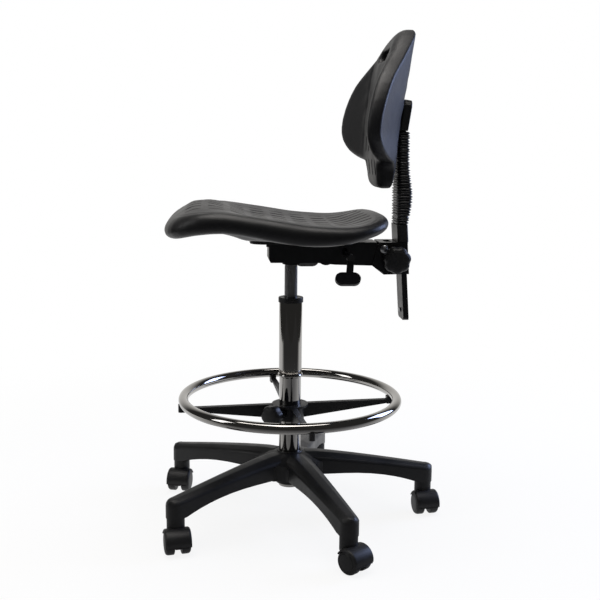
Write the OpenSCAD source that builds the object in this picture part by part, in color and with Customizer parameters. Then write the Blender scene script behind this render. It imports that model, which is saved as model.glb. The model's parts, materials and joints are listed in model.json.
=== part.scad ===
// Drafting chair: five-star castor base, gas column, foot ring, moulded seat and backrest.
// +Z is up and the chair faces -Y. The origin is on the floor, on the column's axis.

/* [Base] */
// Radius of the circle on which the castor stems stand
castor_circle_r = 304; // [280:1:330]
// Height of the arms' top at the hub
arm_root_z = 149; // [140:1:156]
// Height of the arms' top at the tips
arm_tip_z = 113; // [110:1:120]
// Height of the arms' underside at the hub
arm_under_z = 102; // [96:1:108]
// Height of the seat that the castors' necks turn under
tip_under_z = 71; // [70:1:74]
// Width of an arm at the hub
arm_root_w = 66; // [58:1:70]
// Width of an arm at its tip
arm_tip_w = 40; // [36:1:44]
// Width of the flat ridge along an arm
ridge_w = 18; // [14:1:22]
// Height of the sloped shoulder beside the ridge
shoulder_h = 15; // [10:1:18]
// Wall thickness of the moulded arms
arm_wall = 3.5; // [3:0.5:5]
// Thickness of the ribs under the arms
rib_t = 2.5; // [2:0.5:4]
// Outer radius of the hub's socket for the column
socket_r = 31; // [30:0.5:33]

/* [Castors] */
// Radius of a castor wheel
wheel_r = 25; // [24:0.5:26]
// Width of one wheel
wheel_w = 19.5; // [17:0.5:21]
// Half the thickness of the web between the two wheels
web_half = 7; // [5:0.5:8]
// Distance of the axle behind the stem
castor_trail = 17; // [14:1:20]
// Thickness of the hood over the wheels
hood_t = 2.4; // [2:0.2:3]
// Radius of the neck between hood and arm
neck_r = 18.5; // [14:0.5:19.5]
// Radius of the steel stem
stem_r = 5.5; // [5:0.5:6]
// Radius of the wheels' axle
axle_r = 4; // [3:0.5:5]

/* [Column] */
// Outer radius of the column below its bead
tube_low_r = 24; // [23.5:0.1:24.2]
// Outer radius of the column above its bead
tube_high_r = 25; // [24.6:0.1:26]
// Wall thickness of the column
tube_wall = 2; // [1.5:0.5:2.5]
// Height of the column's lower end
tube_bottom_z = 70; // [66:1:74]
// Height of the column's upper end
tube_top_z = 486; // [470:1:490]
// Height of the bead that stops the foot ring
bead_z = 322; // [320:1:340]
// How far the bead stands out of the column
bead_out = 3.5; // [2:0.5:5]
// Radius of the gas cylinder that carries the seat
lift_r = 14; // [13:0.5:15]
// Radius of the piston rod
rod_r = 5; // [4:0.5:6]
// Height of the gas cylinder's lower end
lift_bottom_z = 150; // [140:1:160]

/* [Foot ring] */
// Radius of the foot ring's centre line
ring_r = 234; // [220:1:245]
// Radius of the foot ring's tube
ring_tube_r = 11; // [10:0.5:13]
// Height of the foot ring's centre line
ring_z = 269.4; // [265:0.2:272]
// Height of the spokes' flat top
spoke_z = 257; // [254:0.5:257]
// Width of the spokes' top flange
spoke_w = 13; // [11:1:18]
// Depth of a spoke at the hub
spoke_root_h = 33; // [26:1:35]
// Depth of a spoke at its tip
spoke_tip_h = 10; // [8:1:14]
// Radius of the flange on the foot ring's hub
spider_flange_r = 40; // [36:1:44]
// Direction in which the foot ring's hand knob points
ring_knob_angle = -39; // [-50:1:-30]
// Radius of the foot ring's hand knob
ring_knob_r = 24.5; // [20:0.5:27]

/* [Mechanism] */
// Half the width of the mechanism's steel channel
channel_half = 34; // [32:0.5:36]
// Thickness of the channel's sheet
sheet = 3; // [2.5:0.5:4]
// Height of the channel's top edge
channel_top_z = 617; // [616:0.5:618]
// Height of the channel's floor
channel_floor_z = 573; // [571:0.5:575]
// Distance of the channel's front wall before the column
channel_front = 50; // [44:1:54]
// Distance of the back's pivot behind the column
pivot_y = 196; // [190:1:200]
// Height of the back's pivot
pivot_z = 603; // [600:1:604]
// Radius of the pivot bolt
pivot_r = 4; // [3.5:0.5:5]
// Height of the lever rods
lever_z = 594; // [593:0.5:595]
// Radius of the lever rods
lever_r = 4; // [3.5:0.5:5]
// Distance of the lift lever behind the column
lift_lever_y = 58; // [54:1:64]
// Distance of the back lever behind the column
back_lever_y = 112; // [104:1:120]
// Distance from the column to the outer end of a lever's rod
lever_reach = 128; // [115:1:140]

/* [Back bar] */
// Width of the back bar
bar_w = 60; // [50:1:60]
// Thickness of the back bar
bar_t = 12; // [10:0.5:12]
// Forward lean of the bar's lower stretch, in degrees
bar_lean = 4; // [3:0.2:4.6]
// Height of the bar's lower end
bar_bottom_z = 446; // [430:1:460]
// Distance of the clamp knob's stud behind the column
clamp_y = 221; // [219:0.5:222]
// Height of the clamp knob's stud
clamp_z = 581; // [576:1:586]
// Radius of the star knob over its lobes
star_knob_r = 29; // [25:0.5:31]
// Pitch of the gaiter's folds
fold_pitch = 7.9; // [6:0.1:10]

/* [Seat] */
// Distance of the seat's front edge before the column
seat_front = 268; // [250:1:280]
// Distance of the seat's rear edge behind the column
seat_rear = 196; // [190:1:200]
// Half the width of the seat
seat_half = 232; // [215:1:245]
// How deep the seat is dished
seat_dish = 11; // [4:0.5:14]
// How far the seat's front is crowned
seat_crown = 15; // [8:1:18]
// Rounding of the seat's rim
seat_rim = 24; // [18:1:28]

/* [Backrest] */
// Half the width of the backrest
back_half = 198; // [180:1:210]
// Height of the backrest's lower end
back_bottom_z = 731; // [726:1:737]
// Height of the backrest's top
back_top_z = 1061; // [1045:1:1070]
// Rearward lean of the backrest, in degrees
back_lean = 8.4; // [7.6:0.2:9]
// Rounding of the backrest's rim towards its front
back_rim = 15; // [12:1:18]
// Rounding of the backrest's rim towards its rear
back_rear_rim = 4; // [2:0.5:6]
// Width of the grab slot
grab_w = 92; // [70:1:100]
// Height of the grab slot
grab_h = 23; // [18:1:28]

/* [Hidden] */
ARM_ANGLES = [for (i = [0:4]) 18 + 72 * i];
TRAIL_ANGLES = [39, 8, 18, -14, 11];
SPOKE_ANGLES = [for (i = [0:3]) 6 + 90 * i];
$fn = 64;
HULL_FN = 32;
fit = 0.05;      // radial clearance of a running fit
seat_gap = 0.3;  // gap between pieces that seat on each other
eps = 0.01;

// ---- helpers -------------------------------------------------------------

function mix(a, b, t) = a + (b - a) * t;
function clamp01(t) = min(1, max(0, t));
function smooth(t) = let(c = clamp01(t)) c * c * (3 - 2 * c);

// Index of the span of a sorted table of points that holds x.
function span_of(table, x, i = 0) =
    i >= len(table) - 2 || x < table[i + 1][0] ? i : span_of(table, x, i + 1);

function tangent(table, i) =
    let(a = table[max(0, i - 1)], b = table[min(len(table) - 1, i + 1)])
    (b[1] - a[1]) / (b[0] - a[0]);

// Height of the smooth curve through a table of [x, height] points.
function curve(table, x) =
    let(i = span_of(table, x), a = table[i], b = table[i + 1],
        run = b[0] - a[0], t = clamp01((x - a[0]) / run))
    a[1] * (1 + 2 * t) * (1 - t) * (1 - t)
    + b[1] * t * t * (3 - 2 * t)
    + run * tangent(table, i) * t * (1 - t) * (1 - t)
    - run * tangent(table, i + 1) * t * t * (1 - t);

// Smooth closed outline through a ring of points, with steps points to each span.
function closed_curve(points, steps) =
    let(n = len(points))
    [for (i = [0:n - 1], s = [0:steps - 1])
        let(p = points[(i + n - 1) % n], q = points[i], r = points[(i + 1) % n], e = points[(i + 2) % n],
            t = s / steps)
        q + (r - p) * t / 2 + (2 * p - 5 * q + 4 * r - e) * t * t / 2
        + (3 * q - p - 3 * r + e) * t * t * t / 2];

// The outline moved inward by a distance, for an outline that runs anticlockwise.
function inset(outline, distance) =
    let(n = len(outline))
    [for (i = [0:n - 1])
        let(run = outline[(i + 1) % n] - outline[(i + n - 1) % n])
        outline[i] + distance * [-run[1], run[0]] / norm(run)];

// A solid skinned over rings of points, closed by flat ends. Seen from the last ring they run anticlockwise.
module loft(rings) {
    n = len(rings[0]);
    m = len(rings);
    sides = [for (i = [0:m - 2], j = [0:n - 1])
        let(a = i * n + j, b = i * n + (j + 1) % n)
        each [[a, b + n, b], [a, a + n, b + n]]];
    ends = [[for (j = [0:n - 1]) j], [for (j = [n - 1:-1:0]) (m - 1) * n + j]];
    polyhedron([for (ring = rings) each ring], concat(sides, ends), convexity = 6);
}

// A solid skinned over rings of points, closed by a fan to a point at each end.
module domed_loft(first, rings, final) {
    n = len(rings[0]);
    m = len(rings);
    start = [for (j = [0:n - 1]) [0, 1 + (j + 1) % n, 1 + j]];
    sides = [for (i = [0:m - 2], j = [0:n - 1])
        let(a = 1 + i * n + j, b = 1 + i * n + (j + 1) % n)
        each [[a, b, b + n], [a, b + n, a + n]]];
    end = [for (j = [0:n - 1]) [1 + m * n, 1 + (m - 1) * n + j, 1 + (m - 1) * n + (j + 1) % n]];
    polyhedron(concat([first], [for (ring = rings) each ring], [final]),
               concat(start, sides, end), convexity = 6);
}

// Rings of a cushion: [inset from the outline, shrink to the centre, share of half the thickness].
function cushion_rings(rim) = concat(
    [for (shrink = [0.12, 0.32, 0.52, 0.7, 0.86]) [rim, shrink, 1]],
    [for (turn = [0:20:180]) [rim * (1 - sin(turn)), 1, cos(turn)]],
    [for (shrink = [0.86, 0.7, 0.52, 0.32, 0.12]) [rim, shrink, -1]]);

// The same with a soft front edge and a tighter rear edge, whose height is a share of half the thickness.
function shell_rings(rim, rear_rim) = let(edge = 0.3) concat(
    [for (shrink = [0.12, 0.32, 0.52, 0.7, 0.86]) [rim, shrink, 1]],
    [for (turn = [0:18:90]) [rim * (1 - sin(turn)), 1, cos(turn)]],
    [for (turn = [90:30:180]) [rear_rim * (1 - sin(turn)), 1, edge - 1 + edge * cos(turn)]],
    [for (shrink = [0.86, 0.7, 0.52, 0.32, 0.12]) [rim, shrink, -1]]);

module radial(angles) {
    for (angle = angles) rotate([0, 0, angle]) children();
}

module slot_2d(length, width) {
    square([length - width, width], center = true);
    for (side = [-1, 1]) translate([side * (length - width) / 2, 0]) circle(d = width);
}

module rounded_box_2d(w, d, r) {
    square([w - 2 * r, d], center = true);
    square([w, d - 2 * r], center = true);
    for (x = [-1, 1], y = [-1, 1]) translate([x * (w / 2 - r), y * (d / 2 - r)]) circle(r = r);
}

// Extrudes a profile drawn as [rearward, up] across the chair, centred on its middle.
module across(width) {
    rotate([90, 0, 90]) linear_extrude(width, center = true) children();
}

// A round bar along X from one x to another.
module bar_x(r, x0, x1) {
    translate([x0, 0, 0]) rotate([0, 90, 0]) cylinder(r = r, h = x1 - x0);
}

// ---- base ----------------------------------------------------------------

arm_bend_r = 50;       // where the arms' top starts to fall
under_bend_r = 110;    // where the arms' underside starts to fall
cells = 6;                                        // hollows in a row under an arm
pocket_from_r = 68;
pocket_to_r = castor_circle_r - arm_tip_w / 2;
cell_pitch = (pocket_to_r + rib_t - pocket_from_r) / cells;
web_reach_r = 78;
fillet_r = 26;
stem_top_z = 104;
socket_bottom_z = 78;
lip_r = 28;
lip_z = arm_root_z + 2;

function arm_share(r) = clamp01((r - arm_bend_r) / (castor_circle_r - arm_bend_r));
function arm_top(r) = arm_root_z - (arm_root_z - arm_tip_z) * pow(arm_share(r), 1.2);
function arm_under(r) =
    arm_under_z - (arm_under_z - tip_under_z)
    * pow(clamp01((r - under_bend_r) / (castor_circle_r - 8 - under_bend_r)), 2.4);
function arm_half(r) = mix(arm_root_w, arm_tip_w, clamp01((r - 40) / (castor_circle_r - 40))) / 2;

// One cross-section of an arm, narrowed to share at the rounded tip.
function arm_ring(r, reach, share) =
    let(w = arm_half(r) * share, ridge = ridge_w / 2 * share * mix(1.25, 0.8, arm_share(r)),
        top = arm_top(r) - 9 * (1 - share), under = arm_under(r), drop = shoulder_h * mix(1, 0.8, arm_share(r)))
    [[reach, -w, under], [reach, w, under], [reach, w, top - drop], [reach, w * 0.9, top - drop * 0.55],
     [reach, ridge + 1.5 * share, top - drop * 0.08], [reach, ridge * 0.8, top],
     [reach, -ridge * 0.8, top], [reach, -ridge - 1.5 * share, top - drop * 0.08],
     [reach, -w * 0.9, top - drop * 0.55], [reach, -w, top - drop]];

module arm_outer() {
    straight = [for (r = [34, 60, 90, 120, 150, 180, 210, 235, 256, 274, 290]) arm_ring(r, r, 1)];
    tip = [for (turn = [0, 22, 42, 60, 74, 84])
        arm_ring(castor_circle_r, castor_circle_r + arm_tip_w / 2 * sin(turn), cos(turn))];
    loft(concat(straight, tip));
}

// One of the hollows under an arm, beside its middle rib, from one radius to another.
module arm_cell(from_r, to_r) {
    loft([for (r = [from_r, to_r])
        let(w = arm_half(r) - arm_wall, top = arm_top(r) - arm_wall - 1, ridge = ridge_w / 2, low = tip_under_z - 5)
        [[r, rib_t / 2, low], [r, w, low], [r, w, top - shoulder_h], [r, ridge, top], [r, rib_t / 2, top]]]);
}

// The hollow underside of an arm: two rows of cells that leave the ribs standing.
module arm_cells() {
    for (i = [0:cells - 1], side = [0, 1]) mirror([0, side, 0])
        arm_cell(pocket_from_r + i * cell_pitch, pocket_from_r + (i + 1) * cell_pitch - rib_t);
}

// The middle of the star, scalloped between the arms.
module hub_web() {
    gap_r = (arm_half(web_reach_r) + fillet_r) / sin(36);
    difference() {
        rotate_extrude() polygon([
            [tube_low_r, arm_under_z - 2], [web_reach_r, arm_under_z - 2],
            [web_reach_r, arm_root_z - 19], [62, arm_root_z - 11], [46, arm_root_z - 4],
            [34, arm_root_z - 1], [lip_r + 1, arm_root_z], [lip_r, lip_z], [tube_low_r, lip_z]]);
        radial([for (angle = ARM_ANGLES) angle + 36])
            translate([gap_r, 0, 0]) cylinder(r = fillet_r, h = lip_z + 1);
    }
}

module hub_pocket() {
    difference() {
        rotate_extrude() polygon([
            [socket_r, arm_under_z - 5], [62, arm_under_z - 5], [62, arm_root_z - 18],
            [44, arm_root_z - 10], [socket_r, arm_root_z - 8]]);
        radial([for (i = [0:9]) 18 + 36 * i])
            translate([0, -rib_t / 2, 0]) cube([web_reach_r, rib_t, arm_root_z]);
    }
}

module base_star() {
    color("#2b2c2e") difference() {
        union() {
            radial(ARM_ANGLES) arm_outer();
            hub_web();
            translate([0, 0, socket_bottom_z]) cylinder(r = socket_r, h = arm_root_z - 6 - socket_bottom_z);
        }
        hub_pocket();
        radial(ARM_ANGLES) arm_cells();
        translate([0, 0, socket_bottom_z - 1]) cylinder(r = tube_low_r + fit, h = lip_z);
        radial(ARM_ANGLES) translate([castor_circle_r, 0, tip_under_z - 1])
            cylinder(r = stem_r + fit, h = stem_top_z + 1.5 - tip_under_z);
    }
}

// ---- castors ---------------------------------------------------------------

hood_r = wheel_r + 0.8 + hood_t;
hood_half = web_half + 0.5 + wheel_w;
hood_open_z = 12;
neck_foot_z = wheel_r + 12;
neck_top_z = tip_under_z - 0.5;
stem_foot_z = wheel_r + 19;

module castor_place(i) {
    translate([castor_circle_r * cos(ARM_ANGLES[i]), castor_circle_r * sin(ARM_ANGLES[i]), 0])
        rotate([0, 0, TRAIL_ANGLES[i]]) children();
}

// A cylinder on the wheels' axle, from one y to another.
module on_axle(r, y0, y1) {
    translate([castor_trail, y1, wheel_r]) rotate([90, 0, 0]) cylinder(r = r, h = y1 - y0);
}

module castor_hood(i) {
    color("#2f3032") castor_place(i) difference() {
        union() {
            on_axle(hood_r, -hood_half, hood_half);
            translate([0, 0, neck_foot_z]) cylinder(r = neck_r, h = neck_top_z - neck_foot_z);
        }
        on_axle(wheel_r + 0.8, web_half, hood_half + neck_r);
        on_axle(wheel_r + 0.8, -hood_half - neck_r, -web_half);
        on_axle(axle_r + fit / 2, -web_half - 1, web_half + 1);
        translate([castor_trail - hood_r, -hood_half - 1, hood_open_z - hood_r])
            cube([2 * hood_r, 2 * hood_half + 2, hood_r]);
        translate([0, 0, stem_foot_z]) cylinder(r = stem_r + fit / 2, h = tip_under_z);
    }
}

module castor_pins(i) {
    color("#9a9c9f") castor_place(i) {
        translate([0, 0, stem_foot_z + 0.1]) cylinder(r = stem_r, h = stem_top_z - stem_foot_z);
        on_axle(axle_r, 4 - hood_half, hood_half - 4);
    }
}

// A wheel with rounded edges and a groove round its side disc; side is 1 or -1.
module castor_wheel(i, side) {
    inner = web_half + 0.5;
    outer = inner + wheel_w;
    soft = 3;
    inner_soft = 1.5;
    disc_r = wheel_r - 4.4;
    color("#242527") castor_place(i) translate([castor_trail, 0, wheel_r]) rotate([side * -90, 0, 0])
        difference() {
            rotate_extrude() difference() {
                union() {
                    translate([0, inner]) square([wheel_r - inner_soft, wheel_w - soft]);
                    translate([0, inner + inner_soft]) square([wheel_r, wheel_w - soft - inner_soft]);
                    translate([wheel_r - inner_soft, inner + inner_soft]) circle(r = inner_soft);
                    translate([0, outer - soft]) square([wheel_r - soft, soft]);
                    translate([wheel_r - soft, outer - soft]) circle(r = soft);
                }
                translate([disc_r - 1, outer - 1]) square([1, 2]);
            }
            translate([0, 0, inner - 1]) cylinder(r = axle_r + fit, h = wheel_w - 2.7);
        }
}

// ---- column ----------------------------------------------------------------

plate_z = tube_bottom_z + 2;
plate_t = 3;
bearing_z = plate_z + plate_t;
bearing_h = 7;
sleeve_bottom_z = tube_top_z - 146;
collar_z = tube_top_z + 9;
bead_h = 9;
rod_neck_r = rod_r - 1;

module column_tube() {
    inner = tube_low_r - tube_wall;
    high_inner = tube_high_r - tube_wall;
    color("#c9ccd0") difference() {
        union() {
            translate([0, 0, tube_bottom_z]) cylinder(r = tube_low_r, h = bead_z - tube_bottom_z);
            translate([0, 0, bead_z]) cylinder(r = tube_high_r, h = tube_top_z - bead_z);
            rotate_extrude() translate([tube_low_r + bead_out - bead_h / 2, bead_z]) circle(r = bead_h / 2);
        }
        translate([0, 0, bearing_z]) cylinder(r = inner, h = tube_top_z);
        translate([0, 0, bead_z + bead_h]) cylinder(r = high_inner, h = tube_top_z);
        translate([0, 0, tube_bottom_z - 1]) cylinder(r = inner, h = plate_z + 1 - tube_bottom_z);
        cylinder(r = rod_neck_r + fit, h = tube_top_z);
    }
}

module column_collar() {
    outer = tube_high_r + 2;
    color("#1d1e20") difference() {
        translate([0, 0, tube_top_z - 2]) cylinder(r = outer, h = collar_z - tube_top_z + 2);
        translate([0, 0, tube_top_z - 3]) cylinder(r = tube_high_r + fit, h = 3 + seat_gap);
        cylinder(r = lift_r + 3 * fit, h = collar_z + 1);
    }
}

module guide_sleeve() {
    outer = tube_high_r - tube_wall - fit;
    land = 22;
    color("#d8d8d2") difference() {
        union() {
            translate([0, 0, sleeve_bottom_z]) cylinder(r = outer, h = land);
            translate([0, 0, sleeve_bottom_z]) cylinder(r = outer - 3, h = tube_top_z - sleeve_bottom_z);
            translate([0, 0, tube_top_z - land]) cylinder(r = outer, h = land);
        }
        cylinder(r = lift_r + fit, h = tube_top_z + 1);
    }
}

// Two washers with a caged ring of balls between them.
module thrust_bearing() {
    ball_r = 1.95;
    ball_circle_r = 8.2;
    washer_t = 1.5;
    mid_z = bearing_z + bearing_h / 2;
    color("#8f9296") {
        for (z = [bearing_z, bearing_z + bearing_h - washer_t])
            translate([0, 0, z]) difference() {
                cylinder(r = 12, h = washer_t);
                translate([0, 0, -1]) cylinder(r = rod_neck_r + 0.1, h = washer_t + 2);
            }
        radial([for (i = [0:7]) 45 * i]) translate([ball_circle_r, 0, mid_z]) sphere(r = ball_r);
        difference() {
            translate([0, 0, mid_z - 0.6]) cylinder(r = 11.4, h = 1.2);
            translate([0, 0, mid_z - 1]) cylinder(r = rod_neck_r + 0.4, h = 2);
            radial([for (i = [0:7]) 45 * i])
                translate([ball_circle_r, 0, mid_z - 1]) cylinder(r = ball_r + 0.1, h = 2);
        }
    }
}

rod_shoulder_z = bearing_z + bearing_h + 0.05;
piston_z = lift_bottom_z + 226;
bore_r = lift_r - 1.5;
clip_t = 1.2;
clip_z = plate_z - 0.2 - clip_t;

module piston_rod() {
    color("#b9bcc0") difference() {
        union() {
            translate([0, 0, clip_z - 2.5]) cylinder(r = rod_neck_r, h = rod_shoulder_z - clip_z + 2.5);
            translate([0, 0, rod_shoulder_z]) cylinder(r = rod_r, h = piston_z - rod_shoulder_z);
            translate([0, 0, piston_z]) cylinder(r = bore_r - fit, h = 12);
        }
        translate([0, 0, clip_z - 0.1]) rotate_extrude()
            translate([rod_neck_r - 0.8, 0]) square([2, clip_t + 0.2]);
    }
}

module rod_clip() {
    color("#8f9296") translate([0, 0, clip_z]) linear_extrude(clip_t) difference() {
        circle(r = rod_neck_r + 3);
        circle(r = rod_neck_r - 0.75);
        translate([rod_neck_r / 2, -2]) square([rod_neck_r + 4, 4]);
    }
}

module rubber_bumper() {
    color("#1a1a1b") translate([0, 0, rod_shoulder_z]) difference() {
        cylinder(r = 13, h = 16);
        translate([0, 0, -1]) cylinder(r = rod_r + fit, h = 18);
    }
}

taper_z = 556;
lift_top_z = 600;
taper_top_r = lift_r - 0.8;
button_r = 3.5;
button_out = 4;
button_foot_z = lift_top_z - 14;

module gas_cylinder() {
    gland = 15;
    color("#b4b7ba") difference() {
        union() {
            translate([0, 0, lift_bottom_z]) cylinder(r = lift_r, h = taper_z - lift_bottom_z);
            translate([0, 0, taper_z]) cylinder(r1 = lift_r, r2 = taper_top_r, h = lift_top_z - taper_z);
        }
        translate([0, 0, lift_bottom_z + gland]) cylinder(r = bore_r, h = taper_z - 30 - lift_bottom_z);
        translate([0, 0, lift_bottom_z - 1]) cylinder(r = rod_r + fit, h = gland + 2);
        translate([0, 0, button_foot_z - 4.5]) cylinder(r = button_r + fit, h = 30);
    }
}

module valve_button() {
    color("#d8d8d2") translate([0, 0, button_foot_z])
        cylinder(r = button_r, h = lift_top_z + button_out - button_foot_z);
}

// ---- foot ring -------------------------------------------------------------

spider_bottom_z = spoke_z - spoke_root_h - 2;
spider_r = 31;
saddle_top_z = ring_z - 5;
boss_z = spoke_z - 15;
boss_r = 12;
boss_reach = 50;
screw_r = 2.5;
spoke_end_r = ring_r + ring_tube_r + 1;

module ring_tube() {
    color("#d4d7da") difference() {
        rotate_extrude() translate([ring_r, ring_z]) difference() {
            circle(r = ring_tube_r);
            circle(r = ring_tube_r - 1.5);
        }
        radial(SPOKE_ANGLES) translate([ring_r, 0, ring_z - ring_tube_r - 1])
            cylinder(r = screw_r + 0.1, h = 5);
    }
}

// One T-section spoke, with a saddle for the ring at its tip.
module spoke() {
    root = spider_r - 2;
    rotate([90, 0, 0]) linear_extrude(5, center = true) polygon([
        [root, spoke_z], [spoke_end_r - 4, spoke_z], [spoke_end_r - 4, spoke_z - spoke_tip_h],
        [spoke_end_r - 26, spoke_z - spoke_tip_h], [root, spoke_z - spoke_root_h]]);
    translate([root, -spoke_w / 2, spoke_z - 4]) cube([spoke_end_r - spoke_w / 2 - root, spoke_w, 4]);
    translate([spoke_end_r - spoke_w / 2, 0, spoke_z - spoke_tip_h])
        cylinder(d = spoke_w, h = saddle_top_z - spoke_z + spoke_tip_h);
    translate([ring_r - 13, -spoke_w / 2, spoke_z - spoke_tip_h])
        cube([spoke_end_r - spoke_w / 2 - ring_r + 13, spoke_w, saddle_top_z - spoke_z + spoke_tip_h]);
}

module ring_spider() {
    color("#232426") difference() {
        union() {
            translate([0, 0, spider_bottom_z]) cylinder(r = spider_r, h = spoke_z - spider_bottom_z);
            translate([0, 0, spoke_z - 5]) cylinder(r = spider_flange_r, h = 5);
            radial(SPOKE_ANGLES) spoke();
            rotate([0, 0, ring_knob_angle]) translate([0, 0, boss_z]) bar_x(boss_r, tube_low_r, boss_reach);
        }
        cylinder(r = tube_low_r + 1.5 * fit, h = spoke_z + 10);
        rotate_extrude() translate([ring_r, ring_z]) circle(r = ring_tube_r + seat_gap);
        rotate([0, 0, ring_knob_angle]) translate([0, 0, boss_z]) bar_x(4 + fit, 0, boss_reach + 1);
        radial(SPOKE_ANGLES) translate([ring_r, 0, 0]) {
            cylinder(r = screw_r + 0.1, h = ring_z);
            translate([0, 0, spoke_z - spoke_tip_h - 1]) cylinder(r = 4.6, h = 4);
        }
    }
}

module ring_screws() {
    head_z = spoke_z - spoke_tip_h + 0.3;
    color("#6d7074") radial(SPOKE_ANGLES) translate([ring_r, 0, head_z]) {
        cylinder(r = 4.5, h = 2.6);
        cylinder(r = screw_r, h = ring_z - ring_tube_r + 4 - head_z);
    }
}

// Outline of a hand knob with round lobes.
module lobes_2d(r, count, lobe_r) {
    circle(r = r - lobe_r * 0.72);
    for (i = [0:count - 1]) rotate([0, 0, 360 / count * i]) translate([r - lobe_r, 0]) circle(r = lobe_r);
}

// A lobed hand knob along X, domed on its outer side.
module hand_knob(r, depth, count, lobe_r, neck_r) {
    rotate([0, 90, 0]) {
        intersection() {
            translate([0, 0, depth * 0.3]) linear_extrude(depth * 0.7) lobes_2d(r, count, lobe_r);
            translate([0, 0, depth - 1.35 * r]) sphere(r = 1.35 * r);
        }
        cylinder(r = neck_r, h = depth * 0.3 + eps);
    }
}

module ring_knob() {
    start = boss_reach + 2;
    color("#1d1e20") rotate([0, 0, ring_knob_angle]) translate([0, 0, boss_z]) {
        translate([start, 0, 0]) hand_knob(ring_knob_r, 30, 6, 8, 11);
        bar_x(4, tube_low_r + seat_gap, start + 1);
    }
}

// ---- mechanism -------------------------------------------------------------

cradle_r = 20;             // round bulge in the channel's lower edge
cradle_y = 72;
rear_floor_z = channel_floor_z - 4;
floor_end_y = 170;
top_from_y = 130;
top_to_y = pivot_y - 15;
side_end_y = pivot_y + 15;
lug_x = 5 + sheet - channel_half;            // where the levers' pins stand, by the far wall
lug_t = 3;
lever_pin_r = 2;
lever_lift = 6.5;                            // how far the back lever's rod rises in the near wall
lock_plate_h = 10;
lock_drop = 20;                              // from the pivot down to the lock pin
lock_z = pivot_z - lock_drop;
lock_pin_r = 3;

// Side view of the channel's wall.
module wall_2d() {
    difference() {
        union() {
            polygon([[-channel_front, channel_top_z], [-channel_front, channel_floor_z + 7],
                     [-channel_front + 4, channel_floor_z], [cradle_y - cradle_r, channel_floor_z],
                     [cradle_y + cradle_r, rear_floor_z], [floor_end_y, rear_floor_z - 2],
                     [side_end_y - 8, pivot_z - 30], [side_end_y, pivot_z - 22],
                     [side_end_y, pivot_z + 2], [side_end_y - 8, pivot_z + 8.5],
                     [top_to_y + 2, pivot_z + 8.5], [top_to_y, channel_top_z]]);
            translate([cradle_y, channel_floor_z + 15]) circle(r = cradle_r);
            translate([0, channel_floor_z + 34]) circle(r = 39);
        }
        translate([-200, channel_top_z]) square([500, 60]);
        translate([pivot_y, pivot_z]) circle(r = pivot_r + fit / 2);
        translate([pivot_y, lock_z]) slot_2d(24, 2 * lock_pin_r + 3);
    }
}

module at_levers() {
    for (y = [lift_lever_y, back_lever_y]) translate([0, y, lever_z]) children();
}

// A pair of lugs on the inside of the far wall that hold a lever's pin.
module lever_lugs() {
    for (along = [-9, 9]) translate([lug_x - 5 - eps, along - lug_t / 2, -6]) cube([10, lug_t, 12]);
}

// A lever's pin, along the chair.
module lever_pin(r, length) {
    translate([lug_x, -length / 2, 0]) rotate([-90, 0, 0]) cylinder(r = r, h = length);
}

module channel() {
    inner = channel_half - sheet;
    color("#232527") difference() {
        union() {
            for (x = [-1, 1]) translate([x * (channel_half - sheet / 2), 0, 0]) across(sheet) wall_2d();
            translate([-inner - eps, -channel_front + 4, channel_floor_z])
                cube([2 * inner + 2 * eps, channel_front - 4 + cradle_y - cradle_r, sheet]);
            translate([-inner - eps, -channel_front, channel_floor_z + 7])
                cube([2 * inner + 2 * eps, sheet, channel_top_z - channel_floor_z - 7]);
            translate([-inner - eps, cradle_y + cradle_r, rear_floor_z])
                cube([2 * inner + 2 * eps, floor_end_y - cradle_y - cradle_r, sheet]);
            translate([-inner - eps, top_from_y, channel_top_z - sheet])
                cube([2 * inner + 2 * eps, top_to_y - top_from_y, sheet]);
            translate([-12, back_lever_y - 14, rear_floor_z])
                cube([24, 28, lock_z - lock_plate_h / 2 - seat_gap - rear_floor_z]);
            at_levers() lever_lugs();
        }
        translate([0, 0, channel_floor_z - 10]) cylinder(r = 19 + fit / 2, h = 20);
        translate([0, lift_lever_y, lever_z]) bar_x(lever_r + 1.4, -channel_half - 1, -inner + 1);
        translate([0, back_lever_y, lever_z]) {
            for (rise = [0, lever_lift]) translate([0, 0, rise]) bar_x(lever_r + 1.4, inner - 1, channel_half + 1);
            translate([inner - 1, -lever_r - 1.4, 0]) cube([sheet + 2, 2 * lever_r + 2.8, lever_lift]);
        }
        at_levers() lever_pin(lever_pin_r + fit / 2, 28);
    }
}

module taper_socket() {
    top = lift_top_z - 2;
    bottom = channel_floor_z - 6;
    color("#3a3c3f") difference() {
        translate([0, 0, bottom]) cylinder(r = 19, h = top - bottom);
        translate([0, 0, taper_z]) cylinder(r1 = lift_r + fit, r2 = taper_top_r + fit, h = lift_top_z - taper_z);
    }
}

module lever_pins() {
    color("#9a9c9f") at_levers() lever_pin(lever_pin_r, 22);
}

// Cross bolt with a domed head on the near side and a nut on the far side.
module pivot_bolt() {
    head_x = channel_half + seat_gap + sheet + 0.2;
    color("#c9ccd0") translate([0, pivot_y, pivot_z]) {
        bar_x(pivot_r, -head_x - 4, head_x + 1);
        translate([head_x, 0, 0]) rotate([0, 90, 0]) intersection() {
            cylinder(r = 9, h = 6);
            translate([0, 0, -5]) sphere(r = 11);
        }
        translate([-head_x - 6, 0, 0]) rotate([0, 90, 0]) difference() {
            cylinder(r = 7.5, h = 6, $fn = 6);
            translate([0, 0, -1]) cylinder(r = pivot_r - 0.5, h = 2);
        }
    }
}

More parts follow.
